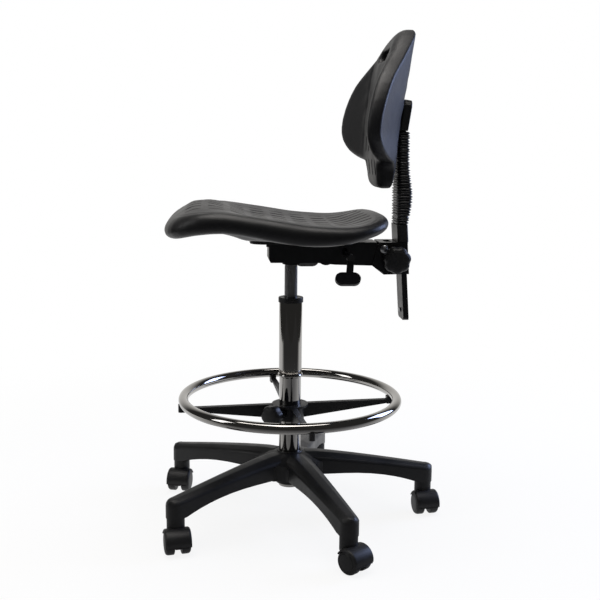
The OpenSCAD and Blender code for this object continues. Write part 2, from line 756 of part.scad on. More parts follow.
// Leaf pack that the back lever clamps; its rear hole rides on the bracket's lock pin.
module lock_plates() {
    front = back_lever_y - 30;
    color("#8f9296") for (x = [-6, 0, 6]) translate([x, 0, 0]) across(2.4) difference() {
        translate([front, lock_z - lock_plate_h / 2]) square([pivot_y + 9 - front, lock_plate_h]);
        translate([pivot_y, lock_z]) circle(r = lock_pin_r + 1.2);
    }
}

module lock_pin() {
    half = channel_half + seat_gap + sheet;
    color("#9a9c9f") translate([0, pivot_y, lock_z]) bar_x(lock_pin_r, -half, half);
}

// A lever's rod from one x to another, bored for its pin.
module lever_rod(x0, x1) {
    difference() {
        bar_x(lever_r, x0, x1);
        lever_pin(lever_pin_r + fit, 20);
    }
}

tongue_t = 4;
tongue_z = lift_top_z + button_out + seat_gap;

module lift_rod() {
    color("#9a9c9f") {
        translate([0, lift_lever_y, lever_z]) lever_rod(-lever_reach, lug_x + 8);
        translate([lug_x + 4, lift_lever_y - 5, lever_z - 3]) cube([10, 10, tongue_z + tongue_t - lever_z + 3]);
        translate([lug_x + 4, -6, tongue_z]) cube([2 - lug_x, lift_lever_y + 6, tongue_t]);
    }
}

// Its thick middle rests on the lock plates and comes off them when the paddle is raised.
module back_rod() {
    nose_r = lever_z - seat_gap - lock_z - lock_plate_h / 2;
    color("#9a9c9f") translate([0, back_lever_y, lever_z]) {
        lever_rod(lug_x - 3, lever_reach);
        bar_x(nose_r, -10, 14);
    }
}

// Drooping finger paddle on the end of a lever rod; side is its x sign.
module paddle(y, side) {
    droop = 52;
    neck = 8;
    length = 50;
    foot_half = 12;
    foot_shift = -9;
    corner = 14;
    slab = 8;
    translate([side * (lever_reach - 8), y, lever_z]) mirror([side > 0 ? 0 : 1, 0, 0]) difference() {
        union() {
            bar_x(neck, -8, 10);
            rotate([0, droop, 0]) translate([0, 0, -slab / 2]) {
                hull() {
                    translate([4, 0, 0]) cylinder(r = neck - 1, h = slab, $fn = HULL_FN);
                    translate([length - corner, foot_shift / 2, 0]) cylinder(r = neck - 1, h = slab, $fn = HULL_FN);
                }
                hull() for (side_y = [-1, 1]) translate([length, foot_shift + side_y * foot_half, 0])
                    cylinder(r = corner, h = slab, $fn = HULL_FN);
            }
        }
        bar_x(lever_r + fit / 2, -10, 8.1);
    }
}

module lift_paddle() {
    color("#202123") paddle(lift_lever_y, -1);
}

module back_paddle() {
    color("#202123") paddle(back_lever_y, 1);
}

// ---- seat ------------------------------------------------------------------

plate_top_z = channel_top_z + seat_gap + sheet;
pan_z = plate_top_z + seat_gap;
pan_t = 5;
pad_floor_z = pan_z + pan_t + seat_gap;
bolt_places = [for (x = [-62, 62], y = [-44, 100]) [x, y]];
bolt_r = 4;
plate_half = 80;
plate_front = 58;
plate_rear = 118;
pan_w = 236;
pan_d = 214;
pan_middle_y = 15;
pan_corner = 30;
bore_top_z = pad_floor_z + 10;

module at_seat_bolts() {
    for (place = bolt_places) translate([place[0], place[1], 0]) children();
}

module seat_plate() {
    color("#232527") difference() {
        union() {
            translate([-plate_half, -plate_front, channel_top_z + seat_gap])
                cube([2 * plate_half, plate_front + plate_rear, sheet]);
            for (x = [-plate_half, plate_half - sheet])
                translate([x, -plate_front, channel_top_z - 5]) cube([sheet, plate_front + plate_rear, 6]);
        }
        at_seat_bolts() cylinder(r = bolt_r + 0.2, h = bore_top_z);
    }
}

module seat_pan() {
    color("#3b3c3e") difference() {
        translate([0, pan_middle_y, pan_z]) linear_extrude(pan_t) rounded_box_2d(pan_w, pan_d, pan_corner);
        at_seat_bolts() cylinder(r = bolt_r + 0.2, h = bore_top_z);
    }
}

module seat_bolts() {
    color("#6d7074") at_seat_bolts() {
        translate([0, 0, channel_top_z + seat_gap - 5.2]) cylinder(r = 7.5, h = 5, $fn = 6);
        translate([0, 0, channel_top_z - 3]) cylinder(r = bolt_r, h = pad_floor_z + 12 - channel_top_z);
    }
}

rear_crown = 5;            // how far the seat's rear lip is crowned

// The seat's side edge: [rearward, height] of its top and of its underside.
SEAT_TOP = [[-268, 666], [-236, 678], [-200, 689], [-150, 692], [-96, 685], [-40, 677],
            [10, 669], [60, 665], [105, 664], [140, 669], [172, 676], [196, 677]];
SEAT_UNDER = [[-268, 626], [-240, 634], [-205, 644], [-150, 650], [-106, 645], [-57, 635],
              [0, 627], [50, 625], [99, 630], [130, 637], [165, 645], [196, 652]];

function seat_spread(x, y) = clamp01(1 - pow(x / (seat_half - 30), 2)) * smooth((y + 230) / 150)
    * smooth((seat_rear - 26 - y) / 110);
function seat_plateau(x, y) = smooth((175 - abs(x)) / 50) * smooth((y + 160) / 65) * smooth((165 - y) / 40);
function seat_swell(x, y) = clamp01(1 - pow(x / (seat_half - 42), 2))
    * (seat_crown * smooth((y + 262) / 60) * smooth((-85 - y) / 90) + rear_crown * smooth((y - 120) / 50));
function seat_top(x, y) = curve(SEAT_TOP, y) - seat_dish * seat_spread(x, y) + seat_swell(x, y);
function seat_under(x, y) = mix(curve(SEAT_UNDER, y), pad_floor_z, seat_plateau(x, y));

function seat_outline() =
    let(w = seat_half, side = [[0, -seat_front], [w * 0.45, 3 - seat_front], [w * 0.76, 20 - seat_front],
        [w * 0.93, 70 - seat_front], [w * 0.985, -120], [w, -20], [w * 0.99, 60], [w * 0.93, seat_rear - 68],
        [w * 0.76, seat_rear - 22], [w * 0.42, seat_rear - 3]])
    closed_curve(concat(side, [[0, seat_rear]],
        [for (i = [len(side) - 1:-1:1]) [-side[i][0], side[i][1]]]), 3);

module seat_pad() {
    outline = seat_outline();
    rim_line = inset(outline, seat_rim);
    centre = [0, -20];
    function skin_point(p, share) =
        let(top = seat_top(p[0], p[1]), under = seat_under(p[0], p[1]))
        [p[0], p[1], (top + under) / 2 + share * (top - under) / 2];
    rings = [for (ring = cushion_rings(seat_rim))
        let(line = ring[1] < 1 ? rim_line : inset(outline, ring[0]))
        [for (p = line) skin_point(centre + ring[1] * (p - centre), ring[2])]];
    color("#3a3b3d") difference() {
        domed_loft(skin_point(centre, 1), rings, skin_point(centre, -1));
        at_seat_bolts() cylinder(r = bolt_r + 0.2, h = bore_top_z);
    }
}

// ---- back bracket and bar ----------------------------------------------------

bar_slack = 0.15;                         // gap between the bar and its plastic guide
bracket_half = channel_half + seat_gap + sheet;
bracket_top_z = channel_top_z;
bracket_front_y = pivot_y - 12;
guide_h = 38;
guide_top_z = bracket_top_z + guide_h;
bend_z = guide_top_z + 35;
mount_z = 850;                            // where the bar meets the backrest's plate
mount_h = 60;
plate_w = 76;

function bar_y(z) = clamp_y + pivot_r + 7.5 + bar_t / 2 + 1.2 + (clamp_z - z) * tan(bar_lean);
function pad_rear_y(z) = 205 + (z - 733) * tan(back_lean);
function upper_bar_y(z) = pad_rear_y(z) + (2 * seat_gap + sheet + bar_t / 2) / cos(back_lean);

// Places children in the frame of the bar's lower stretch, at its centre line.
module on_bar(z) {
    translate([0, bar_y(z), z]) rotate([bar_lean, 0, 0]) children();
}

// Places children on the backrest's rear face: y is out of the face, z is up along it.
module on_back(z) {
    translate([0, pad_rear_y(z), z]) rotate([-back_lean, 0, 0]) children();
}

module back_bracket() {
    low = clamp_z - 32;
    wall_half = bar_t / 2 + 0.3;
    lid_half = channel_half + seat_gap;
    color("#232527") difference() {
        union() {
            for (x = [-1, 1]) translate([x * (bracket_half - sheet / 2), 0, 0]) across(sheet) polygon([
                [bracket_front_y, bracket_top_z - 5], [bracket_front_y + 5, bracket_top_z],
                [bar_y(bracket_top_z) + wall_half + sheet, bracket_top_z],
                [bar_y(low) + wall_half + sheet, low], [pivot_y, low - 1],
                [pivot_y - 25, pivot_z - 36], [pivot_y - 18, pivot_z - 8]]);
            translate([-lid_half - eps, bracket_front_y + 2, bracket_top_z - sheet])
                cube([2 * lid_half + 2 * eps, bar_y(bracket_top_z) + wall_half + 2 - bracket_front_y, sheet]);
            across(2 * lid_half + 2 * eps) polygon([
                [bar_y(bracket_top_z) + wall_half, bracket_top_z], [bar_y(low) + wall_half, low],
                [bar_y(low) + wall_half + sheet, low],
                [bar_y(bracket_top_z) + wall_half + sheet, bracket_top_z]]);
            translate([0, clamp_y, clamp_z]) bar_x(7, -bracket_half - 7, -bracket_half + eps);
        }
        translate([0, pivot_y, pivot_z]) bar_x(pivot_r + fit, -60, 60);
        translate([0, pivot_y, lock_z]) bar_x(lock_pin_r + fit / 2, -60, 60);
        translate([0, clamp_y, clamp_z]) bar_x(4 + fit, -60, 60);
        translate([0, pivot_y + 12, bracket_top_z - 10]) linear_extrude(20) slot_2d(44, 15);
        on_bar(bracket_top_z) linear_extrude(30, center = true)
            square([bar_w + 2 * bar_slack + 5, bar_t + 2 * bar_slack + 4], center = true);
    }
}

// A level slab from one height to another, wide and deep enough for the bar's guide and sleeve.
module level_slab(from_z, to_z) {
    translate([-bar_w, pivot_y, from_z]) cube([2 * bar_w, 2 * bar_w, to_z - from_z]);
}

// Plastic sleeve that the bar slides in, with a shoulder on the bracket's lid.
module bar_guide() {
    tongue = 13;
    color("#27282a") difference() {
        union() {
            intersection() {
                on_bar(bracket_top_z) linear_extrude(2 * guide_h, center = true)
                    rounded_box_2d(bar_w + 14, bar_t + 11.4, 5);
                level_slab(bracket_top_z + seat_gap, guide_top_z);
            }
            on_bar(bracket_top_z) linear_extrude(2 * tongue, center = true)
                square([bar_w + 2 * bar_slack + 4.4, bar_t + 2 * bar_slack + 3.4], center = true);
        }
        on_bar(bracket_top_z) linear_extrude(3 * guide_h, center = true)
            square([bar_w + 2 * bar_slack, bar_t + 2 * bar_slack], center = true);
    }
}

// Block that the clamp knob presses against the bar.
module clamp_shoe() {
    color("#3a3c3f") difference() {
        across(50) polygon([
            [clamp_y - 2, clamp_z + 14], [bar_y(clamp_z + 14) - bar_t / 2 - seat_gap, clamp_z + 14],
            [bar_y(clamp_z - 14) - bar_t / 2 - seat_gap, clamp_z - 14], [clamp_y - 2, clamp_z - 14]]);
        translate([0, clamp_y, clamp_z]) bar_x(4 + 2 * fit, -60, 60);
    }
}

module clamp_stud() {
    color("#9a9c9f") translate([0, clamp_y, clamp_z]) bar_x(4, -bracket_half - 9, bracket_half + 20);
}

module star_knob() {
    color("#242527") translate([bracket_half + 1, clamp_y, clamp_z]) difference() {
        hand_knob(star_knob_r, 32, 7, 9.5, 13);
        bar_x(4 + fit / 2, -1, 19.1);
    }
}

// The flat bar: it leans forward through its guide, then back along the backrest.
module back_bar() {
    half = bar_t / 2;
    end_z = mount_z + mount_h - 1;
    color("#26282a") difference() {
        across(bar_w) polygon([
            [bar_y(bar_bottom_z) - half, bar_bottom_z], [bar_y(bend_z) - half, bend_z],
            [upper_bar_y(mount_z) - half, mount_z], [upper_bar_y(end_z) - half, end_z],
            [upper_bar_y(end_z) + half, end_z], [upper_bar_y(mount_z) + half, mount_z],
            [bar_y(bend_z) + half, bend_z], [bar_y(bar_bottom_z) + half, bar_bottom_z]]);
        for (x = [-1, 1]) translate([x * (bar_w / 2 - 9), 0, bar_bottom_z + 9]) difference() {
            translate([x > 0 ? 0 : -10, 200, -10]) cube([10, 100, 10]);
            translate([0, 190, 0]) rotate([-90, 0, 0]) cylinder(r = 9, h = 120);
        }
        on_bar(bar_bottom_z + 20) rotate([90, 0, 0]) cylinder(r = 2.5 + fit / 2, h = 30, center = true);
        at_back_bolts() {
            rotate([90, 0, 0]) cylinder(r = 3.2, h = 60, center = true);
            translate([0, bolt_head_y - 4.2, 0]) rotate([-90, 0, 0]) cylinder(r = 6.3, h = 20);
        }
    }
}

// Screw through the bar's foot that stops it at the top of its travel.
module bar_stop() {
    color("#6d7074") on_bar(bar_bottom_z + 20) rotate([90, 0, 0]) {
        cylinder(r = 2.5, h = bar_t + 1, center = true);
        translate([0, 0, bar_t / 2]) cylinder(r = 5, h = 3);
    }
}

gaiter_low = [0, bar_y(guide_top_z) + 0.2, guide_top_z + seat_gap];
gaiter_high = [0, upper_bar_y(mount_z) + 1.9, mount_z];

// Folded sleeve over the bar, from its guide to the backrest's cover.
module gaiter() {
    rise = gaiter_high - gaiter_low;
    length = norm(rise);
    folds = floor(length / fold_pitch);
    outer_d = bar_t + 10;
    outer_w = bar_w + 16;
    spare = 4;
    color("#1f2022") intersection() {
        translate(gaiter_low) rotate([-atan2(rise[1], rise[2]), 0, 0]) difference() {
            union() {
                translate([0, 0, -spare]) linear_extrude(length + 2 * spare)
                    rounded_box_2d(outer_w - 4, outer_d - 2.6, 5);
                for (i = [0:folds - 1]) translate([0, 0, (i + 0.25) * length / folds])
                    linear_extrude(length / folds / 2) rounded_box_2d(outer_w, outer_d, 6);
            }
            translate([0, 0, -2 * spare]) linear_extrude(length + 4 * spare)
                rounded_box_2d(outer_w - 8, outer_d - 4.4, 3);
        }
        level_slab(gaiter_low[2], gaiter_high[2]);
    }
}

// ---- backrest ----------------------------------------------------------------

bolt_head_y = 2 * seat_gap + sheet + bar_t;

module at_back_bolts() {
    for (x = [-16, 16], up = [18, 44]) on_back(mount_z) translate([x, 0, up]) children();
}

module back_plate() {
    color("#232527") difference() {
        on_back(mount_z) translate([0, seat_gap + sheet, mount_h / 2 + 3]) rotate([90, 0, 0])
            linear_extrude(sheet) rounded_box_2d(plate_w, mount_h - 8, 10);
        at_back_bolts() rotate([90, 0, 0]) cylinder(r = 3.2, h = 60, center = true);
    }
}

// Moulded cover over the bar's end, open towards the backrest and downwards.
module back_cover() {
    wall = 2;
    deep = bolt_head_y + 0.3;
    half_w = plate_w / 2 + 0.4;
    color("#202123") on_back(mount_z) difference() {
        translate([0, deep + wall, 0]) rotate([90, 0, 0]) linear_extrude(deep + wall - seat_gap) union() {
            translate([0, 30]) square([2 * (half_w + wall), 54], center = true);
            translate([0, 50]) slot_2d(2 * (half_w + wall), 36);
        }
        translate([0, deep, 0]) rotate([90, 0, 0]) linear_extrude(deep + 1) union() {
            translate([0, 25]) square([2 * half_w, 64], center = true);
            translate([0, 49]) slot_2d(2 * half_w, 32);
        }
    }
}

module back_bolts() {
    color("#6d7074") at_back_bolts() translate([0, bolt_head_y - 0.2, 0]) rotate([90, 0, 0]) {
        cylinder(r = 6, h = 4);
        cylinder(r = 3, h = bolt_head_y + 16);
    }
}

// Thickness of the backrest along its middle: [height, thickness].
BACK_MIDDLE = [[728, 30], [741, 33], [767, 40], [800, 48], [850, 54], [975, 58], [1005, 55], [1030, 47], [1061, 31]];
wing_from = 80;
wing_slope = 0.38;
rear_slope = 0.45;
rear_flat = 46;
rear_turn_z = 850;
back_centre = [0, 880];
grab_z = 1000;

function soft_ramp(x, width) = x <= -width ? 0 : x >= width ? x : pow(x + width, 2) / (4 * width);
function rear_rise(x) = rear_slope * soft_ramp(abs(x) - rear_flat, 10);
function back_rear(x, z) = rear_rise(x) - min(9, rear_rise(x)) * smooth((rear_turn_z - z) / 60);
function back_front(x, z) = curve(BACK_MIDDLE, z) + wing_slope * soft_ramp(abs(x) - wing_from, 12);

function back_outline() =
    let(w = back_half, top = back_top_z, low = back_bottom_z,
        side = [[0, low], [46, low + 1], [66, low + 13], [72, low + 38], [88, low + 53], [118, low + 60],
        [w - 42, low + 74], [w - 12, low + 98], [w, low + 128], [w - 3, low + 160], [w - 17, low + 194],
        [w - 42, low + 228], [w - 84, low + 260], [78, top - 40], [54, top - 19], [27, top - 5]])
    closed_curve(concat(side, [[0, top]],
        [for (i = [len(side) - 1:-1:1]) [-side[i][0], side[i][1]]]), 2);

module back_pad() {
    outline = back_outline();
    rim_line = inset(outline, back_rim);
    function skin_point(p, share) =
        let(rear = back_rear(p[0], p[1]), front = back_front(p[0], p[1]))
        [p[0], pad_rear_y(p[1]) - ((front + rear) / 2 + share * (front - rear) / 2), p[1]];
    rings = [for (ring = shell_rings(back_rim, back_rear_rim))
        let(line = ring[1] < 1 ? rim_line : inset(outline, ring[0]))
        [for (p = line) skin_point(back_centre + ring[1] * (p - back_centre), ring[2])]];
    color("#33363b") difference() {
        domed_loft(skin_point(back_centre, 1), rings, skin_point(back_centre, -1));
        on_back(grab_z) rotate([90, 0, 0]) linear_extrude(4 * mount_h, center = true) slot_2d(grab_w, grab_h);
        at_back_bolts() translate([0, -18, 0]) rotate([-90, 0, 0]) cylinder(r = 3.2, h = 40);
    }
}

// ---- assembly ------------------------------------------------------------------

base_star();
column_tube();
column_collar();
guide_sleeve();
thrust_bearing();
for (i = [0:4]) {
    castor_hood(i);
    castor_pins(i);
    castor_wheel(i, 1);
    castor_wheel(i, -1);
}
piston_rod();
rod_clip();
rubber_bumper();
gas_cylinder();
valve_button();
ring_tube();
ring_spider();
ring_screws();
ring_knob();
channel();
taper_socket();
lever_pins();
pivot_bolt();
lock_plates();
lock_pin();
lift_rod();
lift_paddle();
back_rod();
back_paddle();
seat_plate();
seat_pan();
seat_pad();
seat_bolts();
back_bracket();
bar_guide();
clamp_shoe();
clamp_stud();
star_knob();
back_bar();
bar_stop();
gaiter();
back_plate();
back_cover();
back_bolts();
back_pad();
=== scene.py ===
"""Drafting chair: the finishes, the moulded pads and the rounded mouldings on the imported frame.

Lengths are in metres, in the frame's own axes: +Z is up, the chair faces -Y, and +X is the side of
the back lever and the clamp knob.
"""

import json
import math

import bmesh
import bpy
from mathutils import Matrix, Vector
from mathutils.kdtree import KDTree


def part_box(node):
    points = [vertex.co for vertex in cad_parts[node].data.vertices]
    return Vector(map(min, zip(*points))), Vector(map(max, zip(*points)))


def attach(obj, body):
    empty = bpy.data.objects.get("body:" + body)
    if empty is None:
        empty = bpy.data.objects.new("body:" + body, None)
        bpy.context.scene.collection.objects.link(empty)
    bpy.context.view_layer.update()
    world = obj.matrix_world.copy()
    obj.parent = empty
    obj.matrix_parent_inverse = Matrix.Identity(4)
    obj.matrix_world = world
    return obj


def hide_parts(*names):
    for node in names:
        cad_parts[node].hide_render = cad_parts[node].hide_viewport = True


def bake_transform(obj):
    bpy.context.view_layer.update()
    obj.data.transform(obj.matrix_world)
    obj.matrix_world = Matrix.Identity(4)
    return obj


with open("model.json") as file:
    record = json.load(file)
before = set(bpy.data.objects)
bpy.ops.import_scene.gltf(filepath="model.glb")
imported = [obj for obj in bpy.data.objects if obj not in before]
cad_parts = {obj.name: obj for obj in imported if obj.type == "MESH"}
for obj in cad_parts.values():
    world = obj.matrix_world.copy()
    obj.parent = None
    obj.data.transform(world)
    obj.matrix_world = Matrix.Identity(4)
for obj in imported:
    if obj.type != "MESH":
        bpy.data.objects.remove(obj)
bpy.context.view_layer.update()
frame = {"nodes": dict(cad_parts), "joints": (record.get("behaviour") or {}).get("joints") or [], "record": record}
record = frame["record"]
joints = {joint["name"]: joint for joint in frame["joints"]}

# ---- camera and studio ---------------------------------------------------------
# A lens a little longer than normal, two metres off and level with the backrest's lower part,
# looks at the chair's side from slightly in front. The floor is a pale sheet on a white background.

CAMERA_PLACE = Vector((1.9966, -0.1596, 0.818))
CAMERA_AIM = Vector((-0.9827, 0.0884, -0.1626)).normalized()
CAMERA_ROLL = math.radians(0.55)
CAMERA_LENS = 56.03        # millimetres, on a sensor 36 wide
ROOM_FILL = 0.24
ROOM_MIRRORED = (0.8, 0.04)  # how bright the room mirrors behind the chair, and elsewhere

level = CAMERA_AIM.cross(Vector((0, 0, 1))).normalized()
right = Matrix.Rotation(-CAMERA_ROLL, 3, CAMERA_AIM) @ level
upward = right.cross(CAMERA_AIM)
camera = bpy.data.objects.new("camera", bpy.data.cameras.new("camera"))
camera.data.lens = CAMERA_LENS
camera.data.sensor_width = 36
camera.data.clip_start = 0.05
turn = Matrix((right, upward, -CAMERA_AIM)).transposed()
camera.matrix_world = Matrix.Translation(CAMERA_PLACE) @ turn.to_4x4()
bpy.context.scene.collection.objects.link(camera)
bpy.context.scene.camera = camera
bpy.context.scene.view_settings.view_transform = "Standard"


def largest(nodes, links, *outputs):
    """The largest of some outputs."""
    result = outputs[0]
    for output in outputs[1:]:
        larger = nodes.new("ShaderNodeMath")
        larger.operation = "MAXIMUM"
        links.new(result, larger.inputs[0])
        links.new(output, larger.inputs[1])
        result = larger.outputs[0]
    return result


def mixed(nodes, links, share, first, second):
    """A mix of two shaders, whose share of the second is an output."""
    choice = nodes.new("ShaderNodeMixShader")
    links.new(share, choice.inputs["Fac"])
    links.new(first, choice.inputs[1])
    links.new(second, choice.inputs[2])
    return choice.outputs[0]


def ramp(nodes, links, value, start, end, smooth=True):
    """An output mapped from one range onto another, each given as (first, last)."""
    slope = nodes.new("ShaderNodeMapRange")
    if smooth:
        slope.interpolation_type = "SMOOTHSTEP"
    for label, number in zip(("From Min", "From Max", "To Min", "To Max"), (*start, *end)):
        slope.inputs[label].default_value = number
    links.new(value, slope.inputs["Value"])
    return slope.outputs["Result"]


# The room is white behind the chair and dim on the camera's side, as in a booth open there.
studio = bpy.data.worlds.new("studio")
studio.use_nodes = True
nodes, links = studio.node_tree.nodes, studio.node_tree.links
fill_light = nodes["Background"]
fill_light.inputs["Color"].default_value = (1, 1, 1, 1)
fill_light.inputs["Strength"].default_value = ROOM_FILL
white = nodes.new("ShaderNodeBackground")
white.inputs["Color"].default_value = (1, 1, 1, 1)
booth = nodes.new("ShaderNodeBackground")
booth.inputs["Color"].default_value = (1, 0.985, 0.96, 1)
view_to = nodes.new("ShaderNodeTexCoord")
axes = nodes.new("ShaderNodeSeparateXYZ")
links.new(view_to.outputs["Generated"], axes.inputs[0])
opening = ramp(nodes, links, axes.outputs["X"], (-1.0, -0.55), ROOM_MIRRORED)
links.new(opening, booth.inputs["Strength"])
path = nodes.new("ShaderNodeLightPath")
around = mixed(nodes, links, path.outputs["Is Glossy Ray"], fill_light.outputs[0], booth.outputs[0])
seen = largest(nodes, links, path.outputs["Is Camera Ray"], path.outputs["Is Transmission Ray"])
room = mixed(nodes, links, seen, around, white.outputs[0])
links.new(room, nodes["World Output"].inputs["Surface"])
bpy.context.scene.world = studio


def soft_box(name, place, aim, width, height, power, tint=(1, 1, 1)):
    """A rectangular soft light at a place, turned towards a point."""
    lamp = bpy.data.lights.new(name, "AREA")
    lamp.shape = "RECTANGLE"
    lamp.size, lamp.size_y = width, height
    lamp.energy = power
    lamp.color = tint
    light = bpy.data.objects.new(name, lamp)
    light.location = place
    light.rotation_euler = (Vector(aim) - Vector(place)).to_track_quat("-Z", "Y").to_euler()
    bpy.context.scene.collection.objects.link(light)


soft_box("overhead", (0.15, -0.2, 2.8), (0, 0, 0.5), 1.9, 1.9, 54, (1, 0.965, 0.93))
soft_box("facing_the_seat", (0.5, -2.5, 1.6), (0, 0, 0.6), 0.7, 1.6, 12)
soft_box("behind_the_back", (-0.7, 2.6, 1.4), (0, 0.2, 0.8), 1.2, 1.8, 58, (0.52, 0.63, 1))

FLOOR_HALF = 1.9
SHADOW_REACH = (0.45, 1.7)  # the floor's own shade fades out between these distances
bm = bmesh.new()
bmesh.ops.create_grid(bm, x_segments=1, y_segments=1, size=FLOOR_HALF)
floor_mesh = bpy.data.meshes.new("floor")
bm.to_mesh(floor_mesh)
bm.free()
floor = bpy.data.objects.new("floor", floor_mesh)
bpy.context.scene.collection.objects.link(floor)
paper = bpy.data.materials.new("pale_floor")
paper.use_nodes = True
nodes, links = paper.node_tree.nodes, paper.node_tree.links
matt = nodes["Principled BSDF"]
matt.inputs["Base Color"].default_value = (0.92, 0.92, 0.92, 1)
matt.inputs["Roughness"].default_value = 0.9
glow = nodes.new("ShaderNodeEmission")
glow.inputs["Color"].default_value = (1, 1, 1, 1)
place = nodes.new("ShaderNodeTexCoord")
sides = nodes.new("ShaderNodeSeparateXYZ")
links.new(place.outputs["Object"], sides.inputs[0])
dimming = ramp(nodes, links, sides.outputs["X"], (-0.4, 0.6), (0.9, 0.05))
mirrored = nodes.new("ShaderNodeEmission")
links.new(dimming, mirrored.inputs["Strength"])
reach = nodes.new("ShaderNodeVectorMath")
reach.operation = "LENGTH"
shown = nodes.new("ShaderNodeMath")
shown.operation = "MULTIPLY"
path = nodes.new("ShaderNodeLightPath")
rays = [path.outputs[f"Is {kind} Ray"] for kind in ("Camera", "Glossy", "Transmission")]
links.new(place.outputs["Object"], reach.inputs[0])
fade = ramp(nodes, links, reach.outputs["Value"], SHADOW_REACH, (0.88, 1))
links.new(fade, shown.inputs[0])
links.new(largest(nodes, links, *rays), shown.inputs[1])
sheen = mixed(nodes, links, path.outputs["Is Glossy Ray"], glow.outputs[0], mirrored.outputs[0])
finished = mixed(nodes, links, shown.outputs[0], matt.outputs[0], sheen)
links.new(finished, nodes["Material Output"].inputs["Surface"])
floor_mesh.materials.append(paper)

# ---- star base -----------------------------------------------------------------
# One injection moulding of glass-filled black nylon with five hollow, ribbed arms.
# The mould is spark-eroded, which leaves a fine matt grain, and every edge has a radius.

body_of = {node: body for body, nodes in record["behaviour"]["bodies"].items() for node in nodes}


def finish(
    name, tone, roughness, metal=0.0, grain=0.0009, depth=0.00002, mottle=0.08, patch=0.03,
    gleam=0.35,
):
    """A material: a tone with slow mottling, a roughness that varies with it, and a fine grain.

    grain is the grain's size and depth its height; mottle is the spread of the tone and patch the
    size of its patches; gleam is how strongly the surface mirrors.
    """
    material = bpy.data.materials.new(name)
    material.use_nodes = True
    nodes, links = material.node_tree.nodes, material.node_tree.links
    shader = nodes["Principled BSDF"]
    shader.inputs["Metallic"].default_value = metal
    shader.inputs["Specular IOR Level"].default_value = 0.5 if metal else gleam
    place = nodes.new("ShaderNodeTexCoord")
    patches = nodes.new("ShaderNodeTexNoise")
    patches.inputs["Scale"].default_value = 1 / patch
    patches.inputs["Detail"].default_value = 4
    links.new(place.outputs["Object"], patches.inputs["Vector"])
    shade = nodes.new("ShaderNodeMix")
    shade.data_type = "RGBA"
    shade.inputs["A"].default_value = (*[c * (1 - mottle) for c in tone], 1)
    shade.inputs["B"].default_value = (*[min(1, c * (1 + mottle)) for c in tone], 1)
    links.new(patches.outputs["Fac"], shade.inputs["Factor"])
    links.new(shade.outputs["Result"], shader.inputs["Base Color"])
    spread = (roughness * 0.88, min(1, roughness * 1.12))
    gloss = ramp(nodes, links, patches.outputs["Fac"], (0.3, 0.7), spread, smooth=False)
    links.new(gloss, shader.inputs["Roughness"])
    if depth:
        grains = nodes.new("ShaderNodeTexNoise")
        grains.inputs["Scale"].default_value = 1 / grain
        grains.inputs["Detail"].default_value = 2
        links.new(place.outputs["Object"], grains.inputs["Vector"])
        bump = nodes.new("ShaderNodeBump")
        bump.inputs["Distance"].default_value = depth
        links.new(grains.outputs["Fac"], bump.inputs["Height"])
        links.new(bump.outputs["Normal"], shader.inputs["Normal"])
    return material


def as_piece(name, bm, material, *nodes, sharp=40):
    """Makes a piece of a bmesh: it stands for the CAD nodes and rides on their body."""
    mesh = bpy.data.meshes.new(name)
    bm.to_mesh(mesh)
    bm.free()
    mesh.shade_smooth()
    mesh.set_sharp_from_angle(angle=math.radians(sharp))
    mesh.materials.append(material)
    piece = bpy.data.objects.new(name, mesh)
    bpy.context.scene.collection.objects.link(piece)
    if nodes:
        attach(piece, body_of[nodes[0]])
        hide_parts(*nodes)
    return piece


def coated(material, *nodes):
    """Gives the CAD's own shapes of some nodes a finish."""
    for node in nodes:
        frame["nodes"][node].material_slots[0].material = material


def solid_of(node):
    """The node's shape as one closed mesh with flat faces left whole."""
    bm = bmesh.new()
    bm.from_mesh(frame["nodes"][node].data)
    bmesh.ops.remove_doubles(bm, verts=bm.verts, dist=2e-6)
    bmesh.ops.dissolve_limit(bm, angle_limit=math.radians(0.6), verts=bm.verts, edges=bm.edges)
    return bm


def eased(node, name, material, edge, corner=32, sharp=40, outer=None):
    """The node's shape with its edges rounded to a radius, as mouldings and coated sheets have.

    outer is a larger radius and a test, by an edge and its middle, for the edges that have it.
    """
    bm = solid_of(node)
    rounds = [(edge, 2, lambda e, middle: True, True)]
    if outer:
        rounds.insert(0, (outer[0], 5, outer[1], False))
    for radius, segments, chosen, clamped in rounds:
        edges = [e for e in bm.edges if e.is_manifold]
        edges = [e for e in edges if e.calc_face_angle(0) > math.radians(corner)]
        edges = [e for e in edges if chosen(e, (e.verts[0].co + e.verts[1].co) / 2)]
        bmesh.ops.bevel(
            bm, geom=edges, offset=radius, offset_type="OFFSET", affect="EDGES", segments=segments,
            profile=0.5, material=-1, clamp_overlap=clamped,
        )
    piece = as_piece(name, bm, material, node, sharp=sharp)
    normals = piece.modifiers.new("even_shading", "WEIGHTED_NORMAL")
    normals.keep_sharp = True
    return piece


nylon = finish("black_nylon", (0.0095, 0.0095, 0.0102), 0.42, grain=0.0012, depth=0.00004)


def on_an_arms_back(e, middle):
    """Whether an edge runs along the outside of an arm, above its underside."""
    faces_up = all(f.normal.z > -0.15 for f in e.link_faces)
    on_an_arm = middle.xy.length > 0.07 and middle.z > 0.075
    return e.is_convex and faces_up and on_an_arm and e.calc_length() > 0.006


eased("base_star", "star", nylon, 0.0014, corner=30, outer=(0.004, on_an_arms_back))

# ---- castors -------------------------------------------------------------------
# Hooded twin-wheel castors: a nylon hood and neck in one moulding, a steel stem and axle, and
# two nylon wheels whose outer sides are closed by shallow domed caps.

